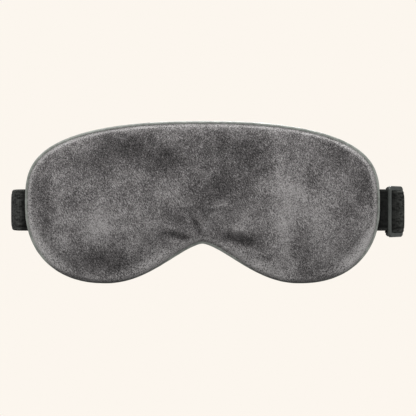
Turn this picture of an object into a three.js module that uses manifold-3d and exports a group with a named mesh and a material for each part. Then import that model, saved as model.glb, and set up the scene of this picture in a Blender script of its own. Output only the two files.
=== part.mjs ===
// Sleep eye mask: a padded plush mask with a piped edge, held on by a loop of flat elastic with a
// three-bar slider. Millimetres, +Z up. The plush front faces -Y and the skin side +Y. The origin is
// on the flat of the skin side, on the centre line, level with the middle of the elastic.
import * as THREE from "three";
import { mergeVertices } from "three/addons/utils/BufferGeometryUtils.js";
import Module from "manifold-3d";

const wasm = await Module();
wasm.setup();

// ---------- driving dimensions ----------
const GAP = 0.3; // left between pieces that touch

const HALF_WIDTH = 106.5; // centre line to the outermost piping
const WIDEST_Z = 3; // height at which the mask is widest
const TOP_RISE = 50.4; // widest line to the top edge
const LOBE_X = 58; // centre line to the lowest point of each eye lobe
const LOBE_DROP = 47.1; // widest line to the lowest point of a lobe
const NOSE_DROP = 23.2; // widest line to the peak of the nose notch
const TOP_SQUARENESS = 2.4; // higher is squarer: how the top edge stays high towards the side
const TOP_FALL = 3.2; // and how steeply it then falls
const NOTCH_SHARPNESS = 0.75; // 1 is a plain cosine wave, less is a sharper peak
const LOBE_SQUARENESS = 2.25; // 2 is an ellipse
const SPINE_HALF = 62; // half the length of the middle line that the surfaces rise to
const SPINE_RISE = 13; // how much higher that line is over the nose than at its ends

const SEAM_Y = -5; // plane of the seam round the edge
const FRONT_RISE = 8; // seam plane to the front of the plush
const BACK_RISE = -SEAM_Y; // seam plane to the flat of the skin side
const EDGE_RISE = 1.3; // half the thickness of the edge, beside the piping
const DOME_POWER = 2.2; // how squarely the pillow rises from its edge
const BACK_FLAT = 0.35; // share of the way in at which the skin side has become flat

const PLUSH_THICK = 1.5;
const SATIN_THICK = 0.8;
const TURNING_THICK = 0.5; // the seam allowance, pressed flat
const TURNING_DEPTH = 9; // how far the allowance reaches in from the outline
const PIPING_R = 1.1;
const PIPING_SKIN = 0.35;
const CORD_R = 0.5;
const THREAD_R = 0.13;

const ELASTIC_WIDTH = 25;
const ELASTIC_THICK = 1;
const ELASTIC_Y = -3; // middle of the elastic where it leaves the seam, behind the piping
const ELASTIC_SEWN_IN = 7.5; // length of elastic held inside the edge
const SEWN_END_OUT = 0.9; // how far the sewn end reaches out of the edge
const LOOP_START = HALF_WIDTH + 1.5; // where the elastic begins to bend
const CORNER_R = 5; // bend beside the mask
const TEMPLE_R = 50; // bend round the temple
const CORNER_END = 60; // headings in degrees: 0 runs outwards, 90 straight back, 180 across the back
const TEMPLE_END = 135;
const REAR_START = 146; // heading at which the rear stretch of the elastic begins

const SLIDER_HEADING = 71; // heading of the elastic at the middle of the slider
const SLIDER_HALF = 8.2; // half its length along the elastic
const SLIDER_HEIGHT = 31;
const BAR_WIDTH = 2;
const BAR_THICK = 1.8;
const TAIL_END = 128; // heading at which the free tail ends
const HEM_LENGTH = 6;

const OUTLINE_STEPS = 72;

// ---------- helpers ----------
const radians = THREE.MathUtils.degToRad;

function material(colour, roughness, metalness = 0) {
  return new THREE.MeshStandardMaterial({ color: colour, roughness, metalness });
}

/** A closed mesh from its corner points and its triangles, with its faces turned outwards. */
function closedGeometry(points, triangles) {
  let volume = 0;
  for (const [a, b, c] of triangles) {
    volume += points[a].dot(new THREE.Vector3().crossVectors(points[b], points[c]));
  }
  const index = triangles.flatMap(([a, b, c]) => (volume > 0 ? [a, b, c] : [a, c, b]));
  const geometry = new THREE.BufferGeometry().setFromPoints(points);
  geometry.setIndex(index);
  return geometry;
}

/** Joins rings of points into a solid: capped at the first and last ring, or closed into a tube. */
function ringSolid(rings, tube = false) {
  const count = rings[0].length;
  const points = rings.flat();
  const triangles = [];
  const last = tube ? rings.length : rings.length - 1;
  for (let r = 0; r < last; r++) {
    const here = r * count;
    const next = ((r + 1) % rings.length) * count;
    for (let i = 0; i < count; i++) {
      const j = (i + 1) % count;
      triangles.push([here + i, here + j, next + j], [here + i, next + j, next + i]);
    }
  }
  if (!tube) {
    const flat = rings[0].map((p) => new THREE.Vector2(p.x, p.z));
    const turn = THREE.ShapeUtils.isClockWise(flat) ? -1 : 1;
    for (const [a, b, c] of THREE.ShapeUtils.triangulateShape(flat, [])) {
      triangles.push(turn > 0 ? [c, b, a] : [a, b, c]);
    }
    const end = (rings.length - 1) * count;
    const flatEnd = rings.at(-1).map((p) => new THREE.Vector2(p.x, p.z));
    for (const [a, b, c] of THREE.ShapeUtils.triangulateShape(flatEnd, [])) {
      triangles.push(turn > 0 ? [end + a, end + b, end + c] : [end + c, end + b, end + a]);
    }
  }
  return closedGeometry(points, triangles);
}

function toManifold(geometry) {
  const bare = geometry.clone();
  bare.deleteAttribute("normal");
  bare.deleteAttribute("uv");
  const merged = mergeVertices(bare, 1e-4);
  return new wasm.Manifold(
    new wasm.Mesh({
      numProp: 3,
      vertProperties: Float32Array.from(merged.attributes.position.array),
      triVerts: Uint32Array.from(merged.index.array),
    }),
  );
}

function fromManifold(solid) {
  const mesh = solid.getMesh();
  const geometry = new THREE.BufferGeometry();
  geometry.setAttribute("position", new THREE.BufferAttribute(mesh.vertProperties, 3));
  geometry.setIndex(new THREE.BufferAttribute(mesh.triVerts, 1));
  return geometry;
}

const mask = new THREE.Group();

function add(name, geometry, look) {
  const mesh = new THREE.Mesh(geometry, look);
  mesh.name = name;
  mask.add(mesh);
}

// ---------- outline of the mask ----------
/** Height of the top edge at a distance x from the centre line. */
function topEdge(x) {
  return WIDEST_Z + TOP_RISE * (1 - (x / HALF_WIDTH) ** TOP_SQUARENESS) ** (1 / TOP_FALL);
}

/** Height of the bottom edge: a wave from the nose to the lobe, then a rounded corner to the side. */
function bottomEdge(x) {
  if (x < LOBE_X) {
    const wave = (1 - Math.cos(Math.PI * (x / LOBE_X) ** NOTCH_SHARPNESS)) / 2;
    return WIDEST_Z - NOSE_DROP - (LOBE_DROP - NOSE_DROP) * wave;
  }
  const out = (x - LOBE_X) / (HALF_WIDTH - LOBE_X);
  return WIDEST_Z - LOBE_DROP * (1 - out ** LOBE_SQUARENESS) ** (1 / LOBE_SQUARENESS);
}

/** Evenly spaced points round the outline, each with the point of the spine that it faces. */
function outlineAndSpine() {
  const quarter = 40;
  const half = [];
  for (let i = 0; i <= quarter; i++) {
    const x = HALF_WIDTH * Math.sin((i / quarter) * (Math.PI / 2));
    half.push(new THREE.Vector3(x, 0, topEdge(x)));
  }
  for (let i = quarter - 1; i >= 0; i--) {
    const x = HALF_WIDTH * Math.sin((i / quarter) * (Math.PI / 2));
    half.push(new THREE.Vector3(x, 0, bottomEdge(x)));
  }
  const other = half.slice(1, -1).reverse().map((p) => new THREE.Vector3(-p.x, 0, p.z));
  const curve = new THREE.CatmullRomCurve3([...half, ...other], true);
  const outline = curve.getSpacedPoints(OUTLINE_STEPS).slice(0, OUTLINE_STEPS);
  const spine = outline.map((p) => {
    const power = p.z > WIDEST_Z ? 2 : 4; // the flanks of the nose notch lean outwards
    const share = Math.min(1, Math.abs(p.x) / HALF_WIDTH);
    const x = Math.sign(p.x) * SPINE_HALF * (1 - (1 - share) ** power);
    const rise = SPINE_RISE * Math.cos((x / SPINE_HALF) * (Math.PI / 2)) ** 2;
    return new THREE.Vector3(x, 0, WIDEST_Z + rise);
  });
  return { outline, spine };
}

const { outline, spine } = outlineAndSpine();

/** A ring at an inset from the outline, then a share of the rest of the way to the spine. */
function ring(inset, share, y) {
  return outline.map((p, i) => {
    const towards = spine[i].clone().sub(p);
    const start = p.clone().addScaledVector(towards, inset / towards.length());
    return start.lerp(spine[i], share).setY(y);
  });
}

/** How far a pillow has risen, from 0 at its edge to 1, a share of the way in. */
function dome(share) {
  return (1 - (1 - Math.min(1, share)) ** DOME_POWER) ** (1 / DOME_POWER);
}

const EDGE_INSET = 2 * PIPING_R; // where the covers begin, inside the piping
const FOLD_WIDTH = 1.4; // width of the fold at their edge
const FOLD_RISE = 0.6; // height of its inner side
const FOLD_INSET = EDGE_INSET + FOLD_WIDTH; // where their inner faces begin
const INNER_RISE = EDGE_RISE + FOLD_RISE; // height at which those begin
const LAYER_SHARE = 0.2; // where the layers inside begin, clear of the turnings
const SPINE_SHARE = 0.9; // where the pillow is closed, close to the spine
const SHARES = [0, 0.03, 0.09, LAYER_SHARE, 0.36, 0.6, SPINE_SHARE];

/** A cover: its dome, a fold at the edge, and the turning that is sewn into the seam. */
function cover({ side, rise, thick, flatFrom }) {
  const shares = SHARES.map((s) => s * (flatFrom / SPINE_SHARE));
  const level = (share) => dome(flatFrom < SPINE_SHARE ? share / flatFrom : share);
  const outer = shares.map((s) => {
    return ring(EDGE_INSET, s, SEAM_Y + side * (EDGE_RISE + (rise - EDGE_RISE) * level(s)));
  });
  const inner = shares.map((s) => {
    return ring(FOLD_INSET, s, SEAM_Y + side * (INNER_RISE + (rise - thick - INNER_RISE) * level(s)));
  });
  const turning = [
    ring(EDGE_INSET, 0, SEAM_Y + side * (EDGE_RISE - TURNING_THICK)),
    ring(TURNING_DEPTH, 0, SEAM_Y + side * (EDGE_RISE - TURNING_THICK)),
    ring(TURNING_DEPTH, 0, SEAM_Y + side * EDGE_RISE),
    ring(FOLD_INSET, 0, SEAM_Y + side * EDGE_RISE),
  ];
  return ringSolid([...outer.reverse(), ...turning, ...inner]);
}

/** A flat layer inside the mask, between two distances from the seam plane, positive to the back. */
function layer(front, back) {
  const shares = [LAYER_SHARE, SPINE_SHARE];
  const near = shares.map((s) => ring(FOLD_INSET, s, SEAM_Y + front));
  const far = shares.map((s) => ring(FOLD_INSET, s, SEAM_Y + back));
  return ringSolid([...near.reverse(), ...far]);
}

// ---------- the mask's own pieces ----------
const BACK_PAD = [0.9, 3.5]; // distances of the faces from the seam plane
const BLACKOUT = [0.1, 0.6];
const FRONT_PAD_BACK = -0.2;
const SEAM_INSET = 5.5; // distance of the seam's thread from the outline
const LEG_GAP = 0.15; // seam plane to the near face of each leg of the piping

function frontPadding() {
  const shares = SHARES.filter((s) => s >= LAYER_SHARE);
  const front = shares.map((s) => {
    const rise = INNER_RISE + (FRONT_RISE - PLUSH_THICK - INNER_RISE) * dome(s) - GAP;
    return ring(FOLD_INSET, s, SEAM_Y - rise);
  });
  const back = [LAYER_SHARE, SPINE_SHARE].map((s) => ring(FOLD_INSET, s, SEAM_Y + FRONT_PAD_BACK));
  return ringSolid([...front.reverse(), ...back]);
}

/** A closed tube round the edge, from a section given as [inset, distance behind the seam plane]. */
function edgeTube(section) {
  return ringSolid(section.map(([inset, behind]) => ring(inset, 0, SEAM_Y + behind)), true);
}

function circleSection(inset, behind, radius, sides) {
  return Array.from({ length: sides }, (_, i) => {
    const angle = (2 * Math.PI * i) / sides;
    return [inset + radius * Math.cos(angle), behind + radius * Math.sin(angle)];
  });
}

/** The bias strip of the piping: round the cord, with two legs that run into the seam. */
function pipingSection() {
  const legOut = LEG_GAP + PIPING_SKIN;
  const legIn = LEG_GAP;
  const arc = (radius, leg, steps) => {
    const first = Math.asin(leg / radius);
    return Array.from({ length: steps }, (_, i) => {
      const angle = first + ((2 * Math.PI - 2 * first) * i) / (steps - 1);
      return [PIPING_R + radius * Math.cos(angle), radius * Math.sin(angle)];
    });
  };
  return [
    [TURNING_DEPTH, legOut],
    ...arc(PIPING_R, legOut, 7),
    [TURNING_DEPTH, -legOut],
    [TURNING_DEPTH, -legIn],
    ...arc(PIPING_R - PIPING_SKIN, legIn, 5).reverse(),
    [TURNING_DEPTH, legIn],
  ];
}

/** The skin-side cover, with a slot at each side where the elastic comes out. */
function backCover() {
  const whole = toManifold(
    cover({ side: 1, rise: BACK_RISE, thick: SATIN_THICK, flatFrom: BACK_FLAT }),
  );
  const slotDepth = 12;
  const slotEnd = HALF_WIDTH + 2; // just beyond the outline
  let cut = whole;
  for (const side of [-1, 1]) {
    const slot = new THREE.BoxGeometry(slotDepth, ELASTIC_THICK + 2 * GAP, ELASTIC_WIDTH + 2 * GAP);
    slot.translate(side * (slotEnd - slotDepth / 2), ELASTIC_Y, 0);
    cut = cut.subtract(toManifold(slot));
  }
  return fromManifold(cut);
}

const plush = material(0x69655f, 0.95);
const satin = material(0x565753, 0.55);
const batting = material(0xe8e6e0, 1);
const blackout = material(0x18181a, 0.8);
const foam = material(0xd9d6cc, 0.95);
const piping = material(0x85887f, 0.5);
const thread = material(0x3a3b39, 0.7);
const elastic = material(0x2f302e, 0.9);
const plastic = material(0x3c3d3b, 0.4);

const frontCover = cover({ side: -1, rise: FRONT_RISE, thick: PLUSH_THICK, flatFrom: SPINE_SHARE });
const seam = circleSection(SEAM_INSET, -(EDGE_RISE + 2 * THREAD_R), THREAD_R, 5);

add("front_cover", frontCover, plush);
add("front_padding", frontPadding(), batting);
add("blackout_layer", layer(...BLACKOUT), blackout);
add("back_padding", layer(...BACK_PAD), foam);
add("back_cover", backCover(), satin);
add("piping_cord", edgeTube(circleSection(PIPING_R, 0, CORD_R, 6)), batting);
add("piping_cover", edgeTube(pipingSection()), piping);
add("seam_thread", edgeTube(seam), thread);

// ---------- the elastic ----------
// Places on the loop are given by heading, the direction in which the elastic runs there, and by
// level, the distance outwards from the middle of the single layer.
const corner = radians(CORNER_END);
const temple = radians(TEMPLE_END);
const cornerX = LOOP_START + CORNER_R * Math.sin(corner);
const cornerY = ELASTIC_Y + CORNER_R * (1 - Math.cos(corner));
const templeX = cornerX + TEMPLE_R * (Math.sin(temple) - Math.sin(corner));
const templeY = cornerY + TEMPLE_R * (Math.cos(corner) - Math.cos(temple));
const REAR_R = templeX / Math.sin(temple);

function onLoop(heading, level = 0) {
  const h = radians(heading);
  const outwards = new THREE.Vector2(Math.sin(h), -Math.cos(h)).multiplyScalar(level);
  if (h <= corner) {
    const x = LOOP_START + CORNER_R * Math.sin(h);
    return new THREE.Vector2(x, ELASTIC_Y + CORNER_R * (1 - Math.cos(h))).add(outwards);
  }
  if (h <= temple) {
    const x = cornerX + TEMPLE_R * (Math.sin(h) - Math.sin(corner));
    return new THREE.Vector2(x, cornerY + TEMPLE_R * (Math.cos(corner) - Math.cos(h))).add(outwards);
  }
  const x = templeX + REAR_R * (Math.sin(h) - Math.sin(temple));
  return new THREE.Vector2(x, templeY + REAR_R * (Math.cos(temple) - Math.cos(h))).add(outwards);
}

/** Degrees of heading taken up by a length along the temple bend. */
function templeDegrees(length) {
  return THREE.MathUtils.radToDeg(length / TEMPLE_R);
}

/** Points along the loop at about one every few degrees, at one level. */
function loopPoints(from, to, level, step) {
  const count = Math.max(1, Math.round((to - from) / step));
  return Array.from({ length: count + 1 }, (_, i) => onLoop(from + ((to - from) * i) / count, level));
}

/** A flat band between an outer and an inner line of points, over a range of heights. */
function band(outer, inner, low, high) {
  const shape = new THREE.Shape([...outer, ...inner.slice().reverse()]);
  const geometry = new THREE.ExtrudeGeometry(shape, { depth: high - low, bevelEnabled: false });
  return geometry.translate(0, 0, low);
}

/** A band along the loop, of one thickness, about one level. */
function loopBand({ from, to, level, thick, low, high, step }) {
  const outer = loopPoints(from, to, level + thick / 2, step);
  const inner = loopPoints(from, to, level - thick / 2, step);
  return band(outer, inner, low, high);
}

/** A band from just outside the mask to a heading, with a folded hem on its outer face if asked. */
function bandFromMask(to, hemLength = 0) {
  const hemStart = to - templeDegrees(hemLength);
  const outer = loopPoints(0, hemStart, ELASTIC_THICK / 2, 6);
  const inner = loopPoints(0, to, -ELASTIC_THICK / 2, 6);
  const start = HALF_WIDTH + SEWN_END_OUT + GAP;
  outer.unshift(new THREE.Vector2(start, ELASTIC_Y - ELASTIC_THICK / 2));
  inner.unshift(new THREE.Vector2(start, ELASTIC_Y + ELASTIC_THICK / 2));
  const hem = hemLength ? loopPoints(hemStart, to, 1.5 * ELASTIC_THICK, 4) : [];
  return band([...outer, ...hem], inner, -ELASTIC_WIDTH / 2, ELASTIC_WIDTH / 2);
}

/** The mirror image of a geometry without an index, across the centre line. */
function mirrored(geometry) {
  const flipped = geometry.clone().scale(-1, 1, 1);
  const position = flipped.attributes.position;
  for (let i = 0; i < position.count; i += 3) {
    const a = new THREE.Vector3().fromBufferAttribute(position, i);
    const b = new THREE.Vector3().fromBufferAttribute(position, i + 1);
    position.setXYZ(i, b.x, b.y, b.z);
    position.setXYZ(i + 1, a.x, a.y, a.z);
  }
  return flipped;
}

/** The end of the elastic that is sewn into the edge. */
function sewnEnd(side) {
  const length = ELASTIC_SEWN_IN + SEWN_END_OUT;
  const end = new THREE.BoxGeometry(length, ELASTIC_THICK, ELASTIC_WIDTH);
  return end.translate(side * (HALF_WIDTH + SEWN_END_OUT - length / 2), ELASTIC_Y, 0);
}

// ---------- the slider ----------
// Its two side bars lie outside the short elastic and its middle bar inside it.
const CLEAR = 0.25; // between the slider and the elastic, and between layers of it
const LAYER = ELASTIC_THICK + CLEAR; // from one layer of elastic to the next
const SIDE_BAR_LEVEL = ELASTIC_THICK / 2 + CLEAR + BAR_THICK / 2;
const MIDDLE_BAR_LEVEL = -(ELASTIC_THICK / 2 + LAYER + CLEAR + BAR_THICK / 2);

function sliderBand(fromLength, toLength, level, thick, low, high) {
  return loopBand({
    from: SLIDER_HEADING + templeDegrees(fromLength),
    to: SLIDER_HEADING + templeDegrees(toLength),
    level,
    thick,
    low,
    high,
    step: 4,
  });
}

function slider() {
  const top = SLIDER_HEIGHT / 2;
  const endDepth = 2.3; // height of the cross members at its top and bottom
  const reach = SIDE_BAR_LEVEL - MIDDLE_BAR_LEVEL + BAR_THICK;
  const middle = (SIDE_BAR_LEVEL + MIDDLE_BAR_LEVEL) / 2;
  const bands = [
    sliderBand(-SLIDER_HALF, -SLIDER_HALF + BAR_WIDTH, SIDE_BAR_LEVEL, BAR_THICK, -top, top),
    sliderBand(SLIDER_HALF - BAR_WIDTH, SLIDER_HALF, SIDE_BAR_LEVEL, BAR_THICK, -top, top),
    sliderBand(-BAR_WIDTH / 2, BAR_WIDTH / 2, MIDDLE_BAR_LEVEL, BAR_THICK, -top, top),
  ];
  for (const [low, high] of [[-top, -top + endDepth], [top - endDepth, top]]) {
    bands.push(sliderBand(-SLIDER_HALF, SLIDER_HALF, SIDE_BAR_LEVEL, BAR_THICK, low, high));
    bands.push(sliderBand(-2 * BAR_WIDTH, 2 * BAR_WIDTH, middle, reach, low, high));
  }
  const whole = bands.map(toManifold).reduce((sum, piece) => sum.add(piece));
  return fromManifold(whole);
}

/** A smooth step between two places given as [length along the temple bend, level]. */
function step([fromLength, fromLevel], [toLength, toLevel]) {
  const middle = (fromLength + toLength) / 2;
  const bend = new THREE.CubicBezierCurve(
    new THREE.Vector2(fromLength, fromLevel),
    new THREE.Vector2(middle, fromLevel),
    new THREE.Vector2(middle, toLevel),
    new THREE.Vector2(toLength, toLevel),
  );
  return bend.getPoints(5);
}

/** The end of the long elastic: its lap over the middle bar, round the bar, and back under the tail. */
function strapLoop() {
  const turnR = BAR_THICK / 2 + CLEAR + ELASTIC_THICK / 2;
  const turnAt = -0.6; // lengths from the middle of the slider
  const leavesBar = 1.2;
  const underLap = 5.5;
  const lapEnd = 8;
  const pastLap = lapEnd + 0.8;
  const settled = lapEnd + 4.5;
  const straightFrom = lapEnd + 9;
  const under = -2 * LAYER;
  const bar = [turnAt, MIDDLE_BAR_LEVEL];
  const turn = new THREE.EllipseCurve(...bar, turnR, turnR, Math.PI / 2, 1.5 * Math.PI);
  const route = [
    new THREE.Vector2(lapEnd, -LAYER),
    ...turn.getPoints(8),
    ...step([leavesBar, MIDDLE_BAR_LEVEL - turnR], [underLap, under]),
    ...step([pastLap, under], [settled, -LAYER]),
  ];
  const end = (TEMPLE_END - 1 - SLIDER_HEADING) / templeDegrees(1);
  const pieces = 6;
  for (let i = 0; i <= pieces; i++) {
    route.push(new THREE.Vector2(straightFrom + ((end - straightFrom) * i) / pieces, -LAYER));
  }
  return route;
}

/** A band whose middle line is given as [length along the temple bend, level] from the slider. */
function bandOnRoute(route) {
  const sides = [[], []];
  route.forEach((here, i) => {
    const before = route[Math.max(0, i - 1)];
    const after = route[Math.min(route.length - 1, i + 1)];
    const run = after.clone().sub(before).normalize();
    const across = new THREE.Vector2(-run.y, run.x).multiplyScalar(ELASTIC_THICK / 2);
    sides[0].push(here.clone().add(across));
    sides[1].push(here.clone().sub(across));
  });
  const [left, right] = sides.map((line) =>
    line.map((p) => onLoop(SLIDER_HEADING + templeDegrees(p.x), p.y)),
  );
  return band(left, right, -ELASTIC_WIDTH / 2, ELASTIC_WIDTH / 2);
}

/** A zigzag of thread across the elastic, lying on one level. */
function zigzag(heading, level) {
  const rows = 11;
  const height = ELASTIC_WIDTH - 3;
  const points = Array.from({ length: rows }, (_, i) => {
    const p = onLoop(heading + templeDegrees((i % 2 ? 1 : -1) * THREAD_REACH), level);
    return new THREE.Vector3(p.x, p.y, (i / (rows - 1) - 0.5) * height);
  });
  const path = new THREE.CatmullRomCurve3(points, false, "catmullrom", 0.2);
  const round = circleSection(0, 0, THREAD_R, 5).map(([x, y]) => new THREE.Vector2(x, y));
  const dot = new THREE.Shape(round);
  return new THREE.ExtrudeGeometry(dot, { steps: 40, bevelEnabled: false, extrudePath: path });
}

const REAR_GAP = 0.2; // degrees of heading left between stretches of elastic
const REAR_FACET = 3; // degrees of heading in each facet, one of them flat across the middle

function rearStrap() {
  const start = REAR_START + REAR_GAP;
  const half = (level) => loopPoints(start, 180 - REAR_FACET / 2, level, REAR_FACET);
  const whole = (level) => {
    const right = half(level);
    const left = right.slice().reverse().map((p) => new THREE.Vector2(-p.x, p.y));
    return [...right, ...left];
  };
  const outer = whole(ELASTIC_THICK / 2);
  const inner = whole(-ELASTIC_THICK / 2);
  return band(outer, inner, -ELASTIC_WIDTH / 2, ELASTIC_WIDTH / 2);
}

/** The stretch of the long elastic between the free tail and the rear. */
function strapRight() {
  return loopBand({
    from: TAIL_END + 1,
    to: REAR_START,
    level: 0,
    thick: ELASTIC_THICK,
    low: -ELASTIC_WIDTH / 2,
    high: ELASTIC_WIDTH / 2,
    step: 5,
  });
}

const THREAD_REACH = 1.2; // half the width of a zigzag along the elastic
const THREAD_LIFT = THREAD_R + 0.07; // its centre line above the face that it lies on
const LAP_STITCH = 6.3; // middle of the slider to the stitches through the lap
const hemHeading = TAIL_END - templeDegrees(HEM_LENGTH / 2);
const hemThreadLevel = 1.5 * ELASTIC_THICK + THREAD_LIFT;
const lapHeading = SLIDER_HEADING + templeDegrees(LAP_STITCH);
const lapThreadLevel = -(2 * LAYER + ELASTIC_THICK / 2 + THREAD_LIFT);

add("strap_end_left", sewnEnd(-1), elastic);
add("strap_end_right", sewnEnd(1), elastic);
add("strap_left", mirrored(bandFromMask(REAR_START)), elastic);
add("strap_right", strapRight(), elastic);
add("strap_rear", rearStrap(), elastic);
add("short_strap", bandFromMask(TAIL_END, HEM_LENGTH), elastic);
add("strap_loop", bandOnRoute(strapLoop()), elastic);
add("slider", slider(), plastic);
add("hem_thread", zigzag(hemHeading, hemThreadLevel), thread);
add("loop_thread", zigzag(lapHeading, lapThreadLevel), thread);

export default mask;
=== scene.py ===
"""Sleep eye mask: the looks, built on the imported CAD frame. Metres, +Z up, plush front to -Y."""
import math

import bmesh
import bpy
import numpy as np
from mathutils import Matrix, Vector, noise


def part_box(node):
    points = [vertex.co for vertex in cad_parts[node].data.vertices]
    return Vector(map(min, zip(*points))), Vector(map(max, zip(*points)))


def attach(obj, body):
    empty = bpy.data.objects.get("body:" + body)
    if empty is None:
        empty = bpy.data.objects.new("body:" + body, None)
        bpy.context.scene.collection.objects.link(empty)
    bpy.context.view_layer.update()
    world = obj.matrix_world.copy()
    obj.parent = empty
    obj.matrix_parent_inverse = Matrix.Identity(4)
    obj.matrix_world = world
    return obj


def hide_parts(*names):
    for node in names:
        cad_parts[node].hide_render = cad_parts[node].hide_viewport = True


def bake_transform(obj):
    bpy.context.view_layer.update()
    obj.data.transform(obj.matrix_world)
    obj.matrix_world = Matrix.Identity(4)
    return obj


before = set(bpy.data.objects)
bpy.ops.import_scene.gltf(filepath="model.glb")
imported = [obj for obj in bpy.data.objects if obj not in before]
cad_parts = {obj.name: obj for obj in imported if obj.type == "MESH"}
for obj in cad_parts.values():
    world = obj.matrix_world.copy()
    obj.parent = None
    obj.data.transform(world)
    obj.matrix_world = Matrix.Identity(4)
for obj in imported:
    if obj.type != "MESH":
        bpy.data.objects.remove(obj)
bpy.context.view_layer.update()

MM = 0.001
scene = bpy.context.scene

# ---------- the mask's shape, as in the CAD part ----------
PIPING_LOW, PIPING_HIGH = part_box("piping_cover")
HALF_WIDTH = PIPING_HIGH.x
SEAM_Y = (PIPING_LOW.y + PIPING_HIGH.y) / 2
PIPING_R = (PIPING_HIGH.y - PIPING_LOW.y) / 2
FRONT_RISE = SEAM_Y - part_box("front_cover")[0].y
BACK_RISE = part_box("back_cover")[1].y - SEAM_Y
WIDEST_Z = 3 * MM
TOP_RISE = PIPING_HIGH.z - WIDEST_Z
LOBE_X = 58 * MM
LOBE_DROP = WIDEST_Z - PIPING_LOW.z
NOSE_DROP = 23.2 * MM
TOP_SQUARENESS = 2.4  # how the top edge stays high towards the side
TOP_FALL = 3.2  # and how steeply it then falls
NOTCH_SHARPNESS = 0.75  # 1 is a plain cosine wave, less is a sharper peak
LOBE_SQUARENESS = 2.25  # 2 is an ellipse
SPINE_HALF = 62 * MM  # half the length of the middle line that the surfaces rise to
SPINE_RISE = 13 * MM
EDGE_INSET = 1.5 * PIPING_R  # where the covers meet the piping
EDGE_RISE = 0.6 * MM  # and how far from the seam plane
DOME_POWER = 2.2  # how squarely the pillow rises from its edge
BACK_FLAT = 0.35  # share of the way in at which the skin side has become flat


def top_edge(x):
    return WIDEST_Z + TOP_RISE * (1 - (x / HALF_WIDTH) ** TOP_SQUARENESS) ** (1 / TOP_FALL)


def bottom_edge(x):
    if x < LOBE_X:
        wave = (1 - math.cos(math.pi * (x / LOBE_X) ** NOTCH_SHARPNESS)) / 2
        return WIDEST_Z - NOSE_DROP - (LOBE_DROP - NOSE_DROP) * wave
    out = min(1.0, (x - LOBE_X) / (HALF_WIDTH - LOBE_X))
    return WIDEST_Z - LOBE_DROP * (1 - out**LOBE_SQUARENESS) ** (1 / LOBE_SQUARENESS)


def lengths_along(points):
    """The length along an open line up to each of its points."""
    return np.concatenate([[0], np.cumsum(np.linalg.norm(np.diff(points, axis=0), axis=1))])


def outline(count):
    """Evenly spaced points (x, z) round the piping's outer edge, clockwise from the top."""
    quarter = 400  # steps from the centre line to the side, before the even spacing
    xs = [HALF_WIDTH * math.sin(i / quarter * math.pi / 2) for i in range(quarter + 1)]
    half = [(x, top_edge(x)) for x in xs] + [(x, bottom_edge(x)) for x in reversed(xs[:-1])]
    other = [(-x, z) for x, z in reversed(half[1:-1])]
    loop = np.array(half + other + half[:1])
    run = lengths_along(loop)
    at = np.linspace(0, run[-1], count, endpoint=False)
    return np.stack([np.interp(at, run, loop[:, 0]), np.interp(at, run, loop[:, 1])], axis=1)


def closed_length(points):
    """The length of a closed line of points."""
    return np.linalg.norm(points - np.roll(points, 1, axis=0), axis=1).sum()


def inwards(points):
    """Unit vectors that point into the mask from each point of its outline."""
    along = np.roll(points, -1, axis=0) - np.roll(points, 1, axis=0)
    normal = np.stack([along[:, 1], -along[:, 0]], axis=1)
    return normal / np.linalg.norm(normal, axis=1, keepdims=True)


def spine_of(points):
    """For each point of the outline, the point of the middle line that it faces."""
    share = np.minimum(1, np.abs(points[:, 0]) / HALF_WIDTH)
    power = np.where(points[:, 1] > WIDEST_Z, 2, 4)  # the flanks of the nose notch lean outwards
    x = np.sign(points[:, 0]) * SPINE_HALF * (1 - (1 - share) ** power)
    rise = SPINE_RISE * np.cos(x / SPINE_HALF * math.pi / 2) ** 2
    return np.stack([x, WIDEST_Z + rise], axis=1)


# ---------- helpers ----------
def new_object(name, verts, faces):
    mesh = bpy.data.meshes.new(name)
    mesh.from_pydata([tuple(map(float, v)) for v in verts], [], faces)
    mesh.validate()
    mesh.polygons.foreach_set("use_smooth", [True] * len(mesh.polygons))
    obj = bpy.data.objects.new(name, mesh)
    scene.collection.objects.link(obj)
    return obj


def coords(obj):
    co = np.empty(len(obj.data.vertices) * 3)
    obj.data.vertices.foreach_get("co", co)
    return co.reshape(-1, 3)


def set_coords(obj, co):
    obj.data.vertices.foreach_set("co", co.astype(np.float32).ravel())
    obj.data.update()


def apply_modifiers(obj):
    """Turns what the modifiers give into obj's own mesh."""
    graph = bpy.context.evaluated_depsgraph_get()
    mesh = bpy.data.meshes.new_from_object(obj.evaluated_get(graph))
    obj.modifiers.clear()
    obj.data = mesh
    mesh.polygons.foreach_set("use_smooth", [True] * len(mesh.polygons))


def store(obj, name, values):
    """Keeps one number for each vertex, which the materials can read by name."""
    layer = obj.data.attributes.new(name, "FLOAT", "POINT")
    layer.data.foreach_set("value", np.asarray(values, dtype=np.float32))


def smooth_share(value):
    """0 below 0, 1 above 1, and a smooth step between."""
    value = np.clip(value, 0, 1)
    return value * value * (3 - 2 * value)


def bell(distance, width):
    return np.exp(-((distance / width) ** 2))


def end_caps(rings, count):
    """The two faces that close a tube of rings."""
    last = (rings - 1) * count
    return [tuple(range(count))[::-1], tuple(last + i for i in range(count))]


def ring_faces(rings, count, closed=False):
    """Quads between rings of count points, each ring following the last one in the vertex list."""
    faces = []
    for r in range(rings if closed else rings - 1):
        here, there = r * count, (r + 1) % rings * count
        for i in range(count):
            j = (i + 1) % count
            faces.append((here + i, here + j, there + j, there + i))
    return faces


# ---------- materials ----------
def srgb(*values):
    """The linear colour of three display values from 0 to 255."""
    linear = [((v / 255 + 0.055) / 1.055) ** 2.4 if v > 10 else v / 255 / 12.92 for v in values]
    return (*linear, 1)


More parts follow.
